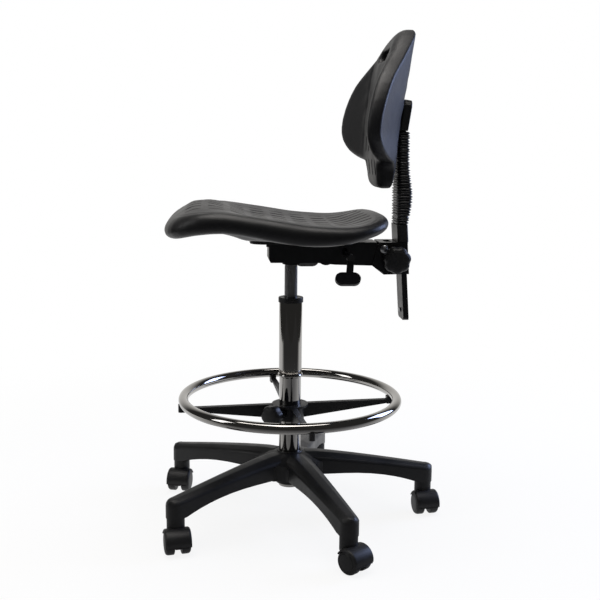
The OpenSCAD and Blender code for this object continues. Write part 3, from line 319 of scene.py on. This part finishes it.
WHEEL_R = 0.025
WHEEL_W = 0.0195
WHEEL_BORE_R = 0.0042
HOOD_R = 0.0282
HOOD_HALF = 0.027
HOOD_WALL = 0.0024
HOOD_EDGE = 0.005          # radius of the barrel's shoulders
HOOD_ENDS = (32, -9)       # degrees above the axle's level at its ends, below the neck and behind
HOOD_FADE = 0.55           # the barrel thins out towards its ends over this angle, in radians
HOOD_THINNED = 0.0021      # by how much it does
WEB_R = 0.0262
WEB_END_Z = 0.0185
WEB_HALF = 0.0068
NECK_R = 0.0185
NECK_FOOT = 0.016          # how far above the axle the neck starts

hood_nylon = finish("hood_nylon", (0.0095, 0.0095, 0.01), 0.46, grain=0.001, depth=0.00003)
wheel_nylon = finish("wheel_nylon", (0.0075, 0.0075, 0.008), 0.4, grain=0.001, depth=0.00002)
zinc = finish(
    "zinc_plate", (0.52, 0.53, 0.54), 0.34, metal=1, depth=0, mottle=0.1, patch=0.006
)


def spun(profile, steps=64):
    """A ring solid turned about Z from a closed profile of [radius, height] points."""
    bm = bmesh.new()
    corners = [bm.verts.new((r, 0, z)) for r, z in profile]
    edges = [bm.edges.new((a, b)) for a, b in zip(corners, corners[1:] + corners[:1])]
    bmesh.ops.spin(
        bm, geom=corners + edges, cent=(0, 0, 0), axis=(0, 0, 1), angle=2 * math.pi, steps=steps,
        use_merge=True,
    )
    bmesh.ops.remove_doubles(bm, verts=bm.verts, dist=1e-6)
    bmesh.ops.recalc_face_normals(bm, faces=bm.faces)
    return bm


def arc(centre, radius, start, end, steps=6):
    """Points [radius, height] along an arc, from one angle to another in degrees."""
    angles = [math.radians(start + (end - start) * i / steps) for i in range(steps + 1)]
    return [(centre[0] + radius * math.cos(a), centre[1] + radius * math.sin(a)) for a in angles]


def turned_to(axis, centre):
    """The place of something made about Z that stands about another axis."""
    turn = Vector((0, 0, 1)).rotation_difference(Vector(axis))
    return Matrix.Translation(Vector(centre)) @ turn.to_matrix().to_4x4()


def wheel_profile():
    """A wheel's section: a shallow cap with a lip, a round shoulder, a foot and the bore."""
    half, hub_r = WHEEL_W / 2, WHEEL_BORE_R
    cap = [(0.0, half), (0.008, half - 0.0001), (0.014, half - 0.0004), (0.0176, half - 0.0009)]
    lip = [(0.0182, half - 0.0017), (0.0188, half - 0.0019), (0.0194, half - 0.0012)]
    quarter = [math.radians(10 * i) for i in range(1, 10)]
    shoulder = [(0.0196 + 0.0054 * math.sin(a), 0.0018 + 0.0067 * math.cos(a)) for a in quarter]
    foot = arc((WHEEL_R - 0.0025, 0.0025 - half), 0.0025, 0, -90)
    bore = [(hub_r, -half), (hub_r, half - 0.004), (0.0, half - 0.004)]
    return cap + lip + shoulder + foot + bore


def joined(block, *others):
    """One solid out of several that overlap, given as meshes in a bmesh each."""
    parts = []
    for bm in (block, *others):
        mesh = bpy.data.meshes.new("part")
        bmesh.ops.recalc_face_normals(bm, faces=bm.faces)
        bm.to_mesh(mesh)
        bm.free()
        parts.append(bpy.data.objects.new("part", mesh))
        bpy.context.scene.collection.objects.link(parts[-1])
    for other in parts[1:]:
        union = parts[0].modifiers.new("union", "BOOLEAN")
        union.operation = "UNION"
        union.solver = "EXACT"
        union.object = other
    depsgraph = bpy.context.evaluated_depsgraph_get()
    whole = bpy.data.meshes.new_from_object(parts[0].evaluated_get(depsgraph))
    for part in parts:
        bpy.data.objects.remove(part)
    bm = bmesh.new()
    bm.from_mesh(whole)
    return bm


def hood_body(neck_low, neck_high):
    """A barrel with rounded shoulders over the wheels, a web between them, and the neck.

    The axle lies on X = Z = 0, along Y.
    """
    edge, wall = HOOD_EDGE, HOOD_WALL
    one_side, other_side = (HOOD_R - edge, HOOD_HALF - edge), (HOOD_R - edge, edge - HOOD_HALF)
    outer = arc(one_side, edge, 90, 0, 6) + arc(other_side, edge, 0, -90, 6)
    inner = arc(other_side, edge - wall, -90, 0, 4) + arc(one_side, edge - wall, 0, 90, 4)
    front, rear = HOOD_ENDS if neck_low.x > 0 else reversed(HOOD_ENDS)
    start = math.radians(front)
    sweep = math.pi - math.radians(front + rear)
    barrel = bmesh.new()
    corners = [
        barrel.verts.new((r * math.cos(start), h, r * math.sin(start))) for r, h in outer + inner
    ]
    section = barrel.faces.new(corners)
    bmesh.ops.spin(
        barrel, geom=[section], cent=(0, 0, 0), axis=(0, -1, 0), angle=sweep, steps=40,
        use_merge=False,
    )
    for v in barrel.verts:
        angle = math.atan2(v.co.z, v.co.x)
        from_front = (angle - start) % (2 * math.pi)
        from_end = min(from_front, (start + sweep - angle) % (2 * math.pi))
        r = math.hypot(v.co.x, v.co.z)
        share_out = (r - HOOD_R + wall) / wall
        if from_end < HOOD_FADE and share_out > 0:
            thinner = 1 - HOOD_THINNED * share_out / r * (1 - from_end / HOOD_FADE) ** 2
            v.co.x, v.co.z = v.co.x * thinner, v.co.z * thinner
    web = bmesh.new()
    bmesh.ops.create_cone(
        web, cap_ends=True, segments=64, radius1=WEB_R, radius2=WEB_R, depth=2 * WEB_HALF
    )
    lying = Matrix.Rotation(math.pi / 2, 3, "X")
    bmesh.ops.rotate(web, verts=web.verts, cent=(0, 0, 0), matrix=lying)
    geom = web.verts[:] + web.edges[:] + web.faces[:]
    cut = bmesh.ops.bisect_plane(
        web, geom=geom, dist=1e-6, plane_co=(0, 0, WEB_END_Z - WHEEL_R), plane_no=(0, 0, -1),
        clear_outer=True,
    )["geom_cut"]
    bmesh.ops.holes_fill(web, edges=[g for g in cut if isinstance(g, bmesh.types.BMEdge)])
    neck = bmesh.new()
    bmesh.ops.create_cone(
        neck, cap_ends=True, segments=64, radius1=NECK_R, radius2=NECK_R,
        depth=neck_high.z - neck_low.z,
    )
    bmesh.ops.translate(neck, verts=neck.verts, vec=(neck_low + neck_high) / 2)
    return joined(barrel, web, neck)


for number in range(1, 6):
    hood, pins = f"castor_{number}_hood", f"castor_{number}_pins"
    axle, swivel = joints[f"castor_{number}_wheel_a"], joints[f"castor_{number}_swivel"]
    along = Vector(axle["axis"])
    stem = Vector(swivel["pos_m"])
    centre = Vector(axle["pos_m"])
    centre -= along * (centre - stem).dot(along)
    stem.z = 0
    forward = along.cross(Vector((0, 0, 1)))
    place = Matrix((forward, along, (0, 0, 1))).transposed().to_4x4()
    place.translation = centre
    offset = (stem - centre).dot(forward)
    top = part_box(hood)[1].z - centre.z
    bm = hood_body(Vector((offset, 0, NECK_FOOT)), Vector((offset, 0, top)))
    bm.transform(place)
    as_piece(f"castor_hood_{number}", bm, hood_nylon, hood, sharp=48)
    coated(zinc, pins)
    for letter, side in (("a", 1), ("b", -1)):
        wheel_node = f"castor_{number}_wheel_{letter}"
        low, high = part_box(wheel_node)
        bm = spun(wheel_profile(), 72)
        bm.transform(turned_to(side * Vector(joints[wheel_node]["axis"]), (low + high) / 2))
        as_piece(f"castor_wheel_{number}{letter}", bm, wheel_nylon, wheel_node)

# ---- column --------------------------------------------------------------------
# A chromed steel tube, rolled to a bead that stops the foot ring, with a black nylon collar
# pressed on its top. The gas cylinder slides in it and carries the seat.

COLUMN_LOW_R = 0.024
COLUMN_HIGH_R = 0.025
BEAD_R = 0.0045
BEAD_DOWN = 0.164          # how far below the column's top its bead is
LIFT_R = 0.014

chrome = finish(
    "chrome_plate", (0.38, 0.37, 0.355), 0.06, metal=1, depth=0, mottle=0.03, patch=0.04
)
low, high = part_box("column_tube")
bead_z = high.z - BEAD_DOWN
tube_bore = COLUMN_LOW_R - 0.002
bead_centre = (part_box("column_tube")[1].x - BEAD_R, bead_z)
profile = (
    [(tube_bore, low.z), (COLUMN_LOW_R, low.z), (COLUMN_LOW_R, bead_z - 0.0048)]
    + arc(bead_centre, BEAD_R, -75, 75, 10)
    + [(COLUMN_HIGH_R, bead_z + 0.0052), (COLUMN_HIGH_R, high.z - 0.0006)]
    + [(COLUMN_HIGH_R - 0.0006, high.z), (tube_bore, high.z)]
)
as_piece("column", spun(profile, 96), chrome, "column_tube")

moulded_black = finish("black_moulding", (0.011, 0.011, 0.0115), 0.4, grain=0.001, depth=0.00002)
low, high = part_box("column_collar")
tube_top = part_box("column_tube")[1].z
lip = 0.0016               # radius of the collar's rounded shoulder
profile = [
    (LIFT_R + 0.0002, tube_top + 0.0001), (COLUMN_HIGH_R + 0.0001, tube_top + 0.0001),
    (COLUMN_HIGH_R + 0.0001, low.z), (high.x, low.z),
    *arc((high.x - lip, high.z - lip), lip, 0, 90, 4),
    (LIFT_R + 0.002, high.z), (LIFT_R + 0.0002, high.z - 0.0015),
]
as_piece("collar", spun(profile, 96), moulded_black, "column_collar")

cylinder_steel = finish(
    "cylinder_steel", (0.26, 0.26, 0.265), 0.3, metal=0.9, depth=0, mottle=0.06, patch=0.02
)
coated(cylinder_steel, "gas_cylinder")
coated(zinc, "piston_rod", "rod_clip", "thrust_bearing")

# ---- foot ring -----------------------------------------------------------------
# A chromed tube bent to a ring and screwed down on the four spokes of a nylon spider, which
# slides on the column and is held by a hand knob.

RING_TUBE_R = 0.011
RING_KNOB_R = 0.0245
RING_KNOB_DEPTH = 0.03

low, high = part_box("ring_tube")
ring_centre = (high.x - RING_TUBE_R, (low.z + high.z) / 2)
as_piece("ring", spun(arc(ring_centre, RING_TUBE_R, 0, 345, 23), 160), chrome, "ring_tube")
eased("ring_spider", "spider", nylon, 0.0008)
coated(zinc, "ring_screws")


def knob_shape(radius, depth, lobes, neck_radius):
    """A lobed hand knob about Z: its neck stands on z = 0 and its domed face is at depth."""
    bm = bmesh.new()
    bmesh.ops.create_circle(bm, cap_ends=True, segments=lobes * 14, radius=radius)
    hollow = 0.085 * radius
    for v in bm.verts:
        around = math.atan2(v.co.y, v.co.x) * lobes
        v.co *= 1 - hollow / radius * (0.5 - 0.5 * math.cos(around)) ** 1.6
    face = bm.faces[:]
    bmesh.ops.translate(bm, verts=bm.verts, vec=(0, 0, depth * 0.3))
    height, scale = 0.0, 1.0
    dome = [(0.45, 1.0), (0.62, 0.975), (0.76, 0.91), (0.87, 0.8), (0.94, 0.64), (0.98, 0.42)]
    for share, width in [*dome, (1.0, 0.18)]:
        grown = bmesh.ops.extrude_face_region(bm, geom=face)["geom"]
        face = [g for g in grown if isinstance(g, bmesh.types.BMFace)]
        verts = [g for g in grown if isinstance(g, bmesh.types.BMVert)]
        bmesh.ops.translate(bm, verts=verts, vec=(0, 0, (share - height) * depth * 0.7))
        bmesh.ops.scale(bm, verts=verts, vec=(width / scale, width / scale, 1))
        height, scale = share, width
    bmesh.ops.recalc_face_normals(bm, faces=bm.faces)
    neck = bmesh.ops.create_cone(
        bm, cap_ends=True, segments=48, radius1=neck_radius, radius2=neck_radius * 1.1,
        depth=depth * 0.34,
    )
    bmesh.ops.translate(bm, verts=neck["verts"], vec=(0, 0, depth * 0.17))
    return bm


knob_axis = Vector(joints["ring_knob"]["axis"])
knob_place = Vector(joints["ring_knob"]["pos_m"])
bm = knob_shape(RING_KNOB_R, RING_KNOB_DEPTH, 6, 0.011)
bm.transform(turned_to(knob_axis, knob_place + 0.002 * knob_axis))
screw = bmesh.ops.create_cone(
    bm, cap_ends=True, segments=32, radius1=0.004, radius2=0.004, depth=0.028
)
screw_place = turned_to(knob_axis, knob_place - 0.0115 * knob_axis)
bmesh.ops.transform(bm, matrix=screw_place, verts=screw["verts"])
as_piece("ring_hand_knob", bm, moulded_black, "ring_knob", sharp=34)

# ---- mechanism -----------------------------------------------------------------
# Pressed and folded steel, welded and powder coated black: the channel on the cylinder's taper,
# the plate under the seat, and the bracket that carries the back. The paddles, the seat's pan,
# the bar's guide, the cover and the clamp's knob are moulded plastic.

CLAMP_KNOB_R = 0.0298
CLAMP_KNOB_DEPTH = 0.032

powder = finish(
    "powder_coat", (0.006, 0.006, 0.0068), 0.38, grain=0.0016, depth=0.00003, mottle=0.1
)
for node, edge in (
    ("channel", 0.0007),
    ("seat_plate", 0.0006),
    ("back_bracket", 0.0008),
    ("back_bar", 0.0012),
):
    eased(node, f"{node}_coated", powder, edge)
eased("pivot_bolt", "pivot_bolt_plated", zinc, 0.0005)
coated(zinc, "lock_plates", "lock_pin", "lever_pins", "lift_rod")
coated(zinc, "seat_bolts", "clamp_stud", "bar_stop", "back_bolts")
coated(powder, "taper_socket", "back_rod", "back_plate")
for node in ("lift_paddle", "back_paddle"):
    eased(node, f"{node}_moulded", moulded_black, 0.0022, corner=28)
for node in ("seat_pan", "bar_guide", "clamp_shoe"):
    eased(node, f"{node}_moulded", moulded_black, 0.0012)


def softened(node, voxel, rounds, crisp=None):
    """The node's shape as an even mesh, with its facets and corners smoothed away.

    crisp is a test for the points that stop moving after the first two rounds.
    """
    bm = bmesh.new()
    bm.from_mesh(frame["nodes"][node].data)
    bmesh.ops.remove_doubles(bm, verts=bm.verts, dist=2e-6)
    mesh = bpy.data.meshes.new("foam")
    bm.to_mesh(mesh)
    bm.free()
    block = bpy.data.objects.new("foam", mesh)
    bpy.context.scene.collection.objects.link(block)
    even = block.modifiers.new("even", "REMESH")
    even.mode = "VOXEL"
    even.voxel_size = voxel
    depsgraph = bpy.context.evaluated_depsgraph_get()
    evened = bpy.data.meshes.new_from_object(block.evaluated_get(depsgraph))
    bpy.data.objects.remove(block)
    bm = bmesh.new()
    bm.from_mesh(evened)
    soft = bm.verts
    for done in range(rounds):
        if crisp and done == 2:
            bm.normal_update()
            soft = [v for v in bm.verts if not crisp(v)]
        bmesh.ops.smooth_vert(
            bm, verts=soft, factor=0.5, use_axis_x=True, use_axis_y=True, use_axis_z=True
        )
    bm.normal_update()
    return bm


bm = softened("back_cover", 0.0011, 10)
as_piece("back_cover_moulded", bm, moulded_black, "back_cover")

clamp = joints["star_knob"]
bm = knob_shape(CLAMP_KNOB_R, CLAMP_KNOB_DEPTH, 7, 0.013)
low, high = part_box("star_knob")
bm.transform(turned_to(clamp["axis"], (low.x, clamp["pos_m"][1], clamp["pos_m"][2])))
as_piece("clamp_knob", bm, moulded_black, "star_knob", sharp=34)

# ---- gaiter --------------------------------------------------------------------
# A soft black rubber sleeve with moulded folds that hides the bar between its guide and the
# backrest. Its lower end stands on the guide and its upper end meets the backrest. On the chair it
# stretches as the back rises; here it is one fixed shape that rides on no body.

rubber = finish(
    "black_rubber", (0.01, 0.01, 0.011), 0.36, grain=0.002, depth=0.00002, gleam=0.6
)
natural = finish("natural_plastic", (0.72, 0.72, 0.68), 0.45, depth=0)
coated(rubber, "rubber_bumper")
coated(natural, "guide_sleeve", "valve_button")

FOLDS = 35
FOLD_DEPTH = 0.0031
SLEEVE_HALF_D = 0.0138     # half the sleeve's depth along the chair
SLEEVE_CORNER = (0.35, 0.5)  # how square its section is, across and along the chair
BULGE = 0.008              # how far the folds push the sleeve's rear side out
BULGE_AT = 0.3             # where along the sleeve they do
BULGE_SPREAD = 0.22
SHARES = (0.0, 0.16, 0.32, 0.5, 0.68, 0.84)  # heights in one fold
SWELL = (0.0, 0.3, 0.88, 1.0, 0.88, 0.3)     # how far out each of them stands
low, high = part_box("gaiter")
half_w, half_d = (high.x - low.x) / 2, SLEEVE_HALF_D
start = Vector((0, low.y + 0.0128, low.z))
end = Vector((0, high.y - 0.0122, high.z))

bm = bmesh.new()
bmesh.ops.create_circle(bm, cap_ends=False, segments=56, radius=1)
ring_verts = bm.verts[:]
ring_edges = bm.edges[:]


def ease(t):
    """A smooth step from 0 to 1."""
    t = max(0.0, min(1.0, t))
    return t * t * (3 - 2 * t)


def sleeve_section(verts, t, inward):
    """Moves a ring of points to the sleeve's section at a share t of its length, drawn in."""
    bulge = BULGE * math.exp(-(((t - BULGE_AT) / BULGE_SPREAD) ** 2)) * ease(t / 0.12)
    centre = start.lerp(end, t) + Vector((0, bulge / 2, 0))
    w, d = half_w - inward, half_d + bulge / 2 - inward
    for i, v in enumerate(verts):
        angle = 2 * math.pi * i / len(verts)
        c, s = math.cos(angle), math.sin(angle)
        across = math.copysign(abs(c) ** SLEEVE_CORNER[0], c) * w
        along = math.copysign(abs(s) ** SLEEVE_CORNER[1], s) * d
        v.co = centre + Vector((across, along, 0))


sleeve_section(ring_verts, 0, FOLD_DEPTH)
for step in range(1, FOLDS * len(SHARES) + 1):
    grown = bmesh.ops.extrude_edge_only(bm, edges=ring_edges)["geom"]
    ring_verts = [g for g in grown if isinstance(g, bmesh.types.BMVert)]
    ring_edges = [g for g in grown if isinstance(g, bmesh.types.BMEdge)]
    fold, part = divmod(step, len(SHARES))
    uneven = 0.1 * math.sin(2.4 * fold) + 0.07 * math.sin(5.1 * fold + 1)
    t = min(1.0, (fold + SHARES[part] + uneven * min(1, fold, FOLDS - fold)) / FOLDS)
    swell = SWELL[part] * (1 - 0.12 * math.sin(3.7 * fold))
    sleeve_section(ring_verts, t, FOLD_DEPTH * (1 - swell))
bmesh.ops.recalc_face_normals(bm, faces=bm.faces)
sleeve = as_piece("sleeve", bm, rubber, sharp=70)
wall = sleeve.modifiers.new("wall", "SOLIDIFY")
wall.thickness = 0.0012
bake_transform(sleeve)
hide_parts("gaiter")

# ---- seat pad ------------------------------------------------------------------
# One piece of self-skinned polyurethane foam on the pan. Its top is moulded with rows of short
# grooves that let air through, and a shallow channel runs round just inside its edge.

GROOVE_PITCH = 0.036       # the backrest's grooves
GROOVE_W = 0.009
GROOVE_DEPTH = 0.0019
ROW_LENGTH = 0.035
ROW_PITCH = 0.0455         # the seat's rows and grooves
SEAT_PITCH = 0.042
SEAT_GROOVE_W = 0.0125


def skin(name, tone, roughness):
    """Self-skinned foam: a fine leather-like grain with a soft bloom."""
    return finish(
        name, tone, roughness, grain=0.0014, depth=0.00008, mottle=0.07, patch=0.05, gleam=0.36
    )


def edge_finder(bm, axis):
    """Gives how far a point lies inside the pad's outer edge, seen along an axis."""
    rim = [v.co.copy() for v in bm.verts if abs(v.normal[axis]) < 0.2]
    tree = KDTree(len(rim))
    for index, point in enumerate(rim):
        point[axis] = 0
        tree.insert(point, index)
    tree.balance()

    def inside(point):
        flat = point.copy()
        flat[axis] = 0
        return tree.find(flat)[2]

    return inside


def groove(across, along, half_length, width=GROOVE_W):
    """Depth share of a round-ended groove: 1 on its middle line, 0 outside it."""
    beyond = max(0.0, abs(along) - (half_length - width / 2))
    return ease(1.4 * (1 - math.hypot(across, beyond) / (width / 2)))


def nearest(value, pitch, offset=0.0):
    """Signed distance to the nearest of an even row of lines."""
    return (value - offset + pitch / 2) % pitch - pitch / 2


seat_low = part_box("seat_pad")[0]
# Each row's middle and length along Y, from the front: seven short ones and a long one.
ROWS = [(-0.207 + ROW_PITCH * i, ROW_LENGTH) for i in range(7)] + [(0.124, 0.076)]
FIELD_HALF = 0.145         # half the width of the grooved field
FIELD_MARGIN = 0.034       # how far inside the edge the field ends
EDGE_CHANNEL = 0.021       # how far inside the edge the channel runs
CHANNEL_DEPTH = 0.0006
CHANNEL_SPREAD = 0.0035
voxel = 0.0022
bm = softened("seat_pad", voxel, 30)
inside_edge = edge_finder(bm, 2)
for v in bm.verts:
    if v.normal.z < 0.5 or v.co.z < seat_low.z + 0.02:
        continue
    inside = inside_edge(v.co)
    sink = CHANNEL_DEPTH * math.exp(-(((inside - EDGE_CHANNEL) / CHANNEL_SPREAD) ** 2))
    if abs(v.co.x) < FIELD_HALF and inside > FIELD_MARGIN:
        for row, length in ROWS:
            if abs(v.co.y - row) < length / 2:
                across = nearest(v.co.x, SEAT_PITCH, SEAT_PITCH / 2)
                sink += GROOVE_DEPTH * groove(across, v.co.y - row, length / 2, SEAT_GROOVE_W)
    v.co -= v.normal * sink
seat_skin = skin("seat_polyurethane", (0.0068, 0.0068, 0.0074), 0.42)
seat = as_piece("seat_cushion", bm, seat_skin, "seat_pad", sharp=80)

# ---- backrest ------------------------------------------------------------------
# The same foam on the bar's plate, with swept wings, a grab slot through its top and two rows of
# short upright grooves at its foot.

voxel = 0.0022
rounds = 18
bm = softened("back_pad", voxel, rounds, crisp=lambda v: 0.25 < v.normal.y < 0.86)
back_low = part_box("back_pad")[0]
BACK_ROWS = (back_low.z + 0.045, back_low.z + 0.094)
CREASE_X = 0.081           # where the wings fold forward from the middle panel
CREASE_DEPTH = 0.0011
CREASE_SPREAD = 0.005
CREASE_ENDS = (0.06, 0.3)  # above the backrest's foot
ROW_REACH = 0.066          # how far from its middle the grooves reach
for v in bm.verts:
    if v.normal.y > -0.4:
        continue
    x, up = abs(v.co.x), v.co.z - back_low.z
    crease = math.exp(-(((x - CREASE_X) / CREASE_SPREAD) ** 2))
    crease *= ease((up - CREASE_ENDS[0]) / 0.05) * ease((CREASE_ENDS[1] - up) / 0.04)
    sink = CREASE_DEPTH * crease
    for row in BACK_ROWS:
        if x < ROW_REACH and abs(v.co.z - row) < ROW_LENGTH / 2:
            across = nearest(v.co.x, GROOVE_PITCH, GROOVE_PITCH / 2)
            sink += GROOVE_DEPTH * groove(across, v.co.z - row, ROW_LENGTH / 2)
    v.co -= v.normal * sink
back_skin = skin("back_polyurethane", (0.0078, 0.008, 0.0092), 0.48)
backrest = as_piece("back_cushion", bm, back_skin, "back_pad", sharp=80)
